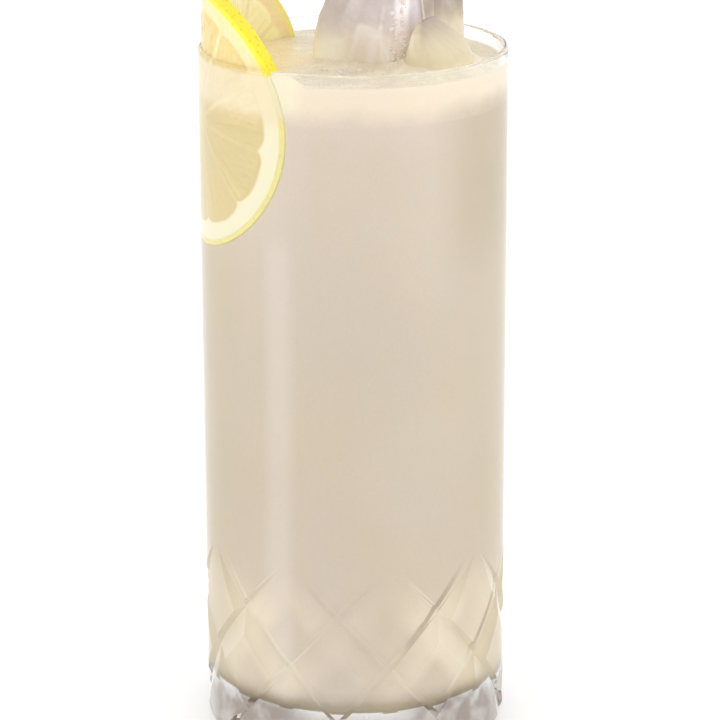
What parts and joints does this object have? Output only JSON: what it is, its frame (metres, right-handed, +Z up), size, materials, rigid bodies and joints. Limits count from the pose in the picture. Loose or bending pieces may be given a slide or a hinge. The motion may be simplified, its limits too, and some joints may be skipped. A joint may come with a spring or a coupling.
{
  "type": "glass of lemonade",
  "caption": "Tall straight clear glass with a diagonal cut pattern at its foot, filled with cloudy lemonade, froth, lemon wheels and ice.",
  "frame": {"origin": "centre of the foot of the glass, on the surface it stands on", "axes": "+Z up along the axis of the glass, the front of the glass faces -Y, the lemon wheels are at -X"},
  "size_m": [0.066, 0.066, 0.168],
  "materials": {
    "clear_glass": "polished clear pressed glass",
    "cloudy_lemonade": "cloudy pale lemonade, stood in for by a glossy solid",
    "pale_froth": "fine pale froth",
    "lemon": "wet lemon flesh, pith and rind",
    "ice": "clear wet ice with cloudy parts"
  },
  "bodies": {
    "root": {"glass": "clear_glass", "lemonade": "cloudy_lemonade", "froth": "pale_froth", "lemon_wheel_front": "lemon", "lemon_wheel_rear": "lemon", "ice_tall": "ice", "ice_rear": "ice", "ice_low": "ice"}
  },
  "joints": []
}
